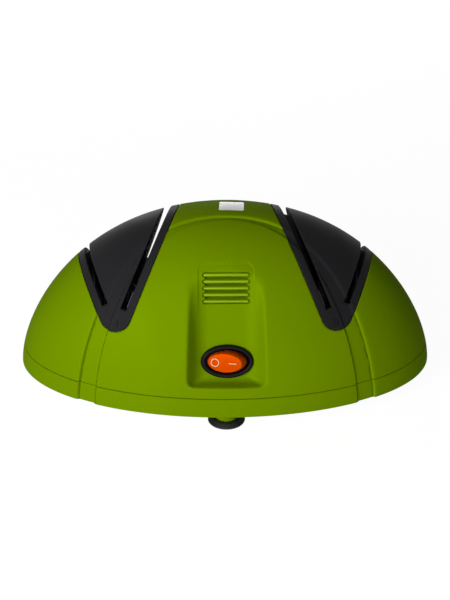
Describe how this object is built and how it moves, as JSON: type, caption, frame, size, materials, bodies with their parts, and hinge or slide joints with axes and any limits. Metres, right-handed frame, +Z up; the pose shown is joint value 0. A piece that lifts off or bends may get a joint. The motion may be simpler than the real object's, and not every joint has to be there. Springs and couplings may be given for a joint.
{
  "type": "wet grinding sharpener",
  "caption": "Domed electric wet grinding knife sharpener with V-shaped slotted guides over water-cooled stones, an oval rocker switch and suction feet.",
  "frame": {"origin": "centre of the footprint, on the surface that the suction feet stand on", "axes": "+X to the right seen from the switch side, +Y to the back, +Z up"},
  "size_m": [0.27, 0.15, 0.1193],
  "materials": {
    "green_housing": "satin moulded yellow-green",
    "black_guide": "satin moulded charcoal",
    "spring_steel": "bright rolled strip",
    "white_plate": "plain white plate",
    "switch_black": "glossy black",
    "rocker_orange": "translucent orange",
    "brass_parts": "stamped brass",
    "foot_rubber": "soft black rubber",
    "motor_iron": "varnished laminations",
    "white_nylon": "natural nylon",
    "copper_winding": "enamelled copper wire",
    "turned_steel": "ground steel",
    "zinc_bracket": "die cast",
    "sintered_bronze": "sintered bronze",
    "screw_steel": "zinc plated",
    "coarse_stone": "coarse grey abrasive",
    "fine_stone": "fine white abrasive",
    "tray_plastic": "grey tray plastic",
    "gland_rubber": "black rubber"
  },
  "bodies": {
    "housing": {"base_shell": "green_housing", "upper_shell": "green_housing", "name_plate": "white_plate", "switch_housing": "switch_black", "switch_terminals": "brass_parts", "suction_foot_front": "foot_rubber", "suction_foot_rear": "foot_rubber", "suction_foot_left": "foot_rubber", "suction_foot_right": "foot_rubber", "stator_stack": "motor_iron", "coil_bobbin": "white_nylon", "motor_coil": "copper_winding", "bearing_bracket_left": "zinc_bracket", "bearing_bracket_right": "zinc_bracket", "bearing_bush_left": "sintered_bronze", "bearing_bush_right": "sintered_bronze", "motor_screws": "screw_steel", "motor_mounts": "foot_rubber", "mount_screws": "screw_steel", "water_tray_1": "tray_plastic", "water_tray_2": "tray_plastic", "housing_screws": "screw_steel", "cord_gland": "gland_rubber", "cord_clamp": "black_guide", "clamp_screws": "screw_steel", "terminal_block": "white_nylon"},
    "spindle": {"rotor": "motor_iron", "drive_shaft": "turned_steel", "cooling_fan": "white_nylon", "water_slinger_1": "black_guide", "water_slinger_2": "black_guide", "wheel_hub_1": "white_nylon", "wheel_hub_2": "white_nylon", "grinding_wheel_coarse": "coarse_stone", "grinding_wheel_fine": "fine_stone", "wheel_washer_1": "screw_steel", "wheel_washer_2": "screw_steel", "shaft_nut_1": "screw_steel", "shaft_nut_2": "screw_steel"},
    "rocker": {"switch_rocker": "rocker_orange"},
    "guide_1": {"knife_guide_1": "black_guide", "blade_springs_1": "spring_steel"},
    "guide_2": {"knife_guide_2": "black_guide", "blade_springs_2": "spring_steel"}
  },
  "joints": [
    {"name": "spindle_spin", "type": "hinge", "parent": "housing", "child": "spindle", "pos_m": [0, 0, 0.05], "axis": [1, 0, 0], "continuous": true},
    {"name": "rocker_press", "type": "hinge", "parent": "housing", "child": "rocker", "pos_m": [0, -0.05844, 0.04419], "axis": [0, 0.2807, 0.9598], "range_deg": [0, 32]},
    {"name": "guide_1_lift", "type": "slide", "parent": "housing", "child": "guide_1", "axis": [0, 0, 1], "range_m": [0, 0.04]},
    {"name": "guide_2_lift", "type": "slide", "parent": "housing", "child": "guide_2", "axis": [0, 0, 1], "range_m": [0, 0.04]}
  ]
}
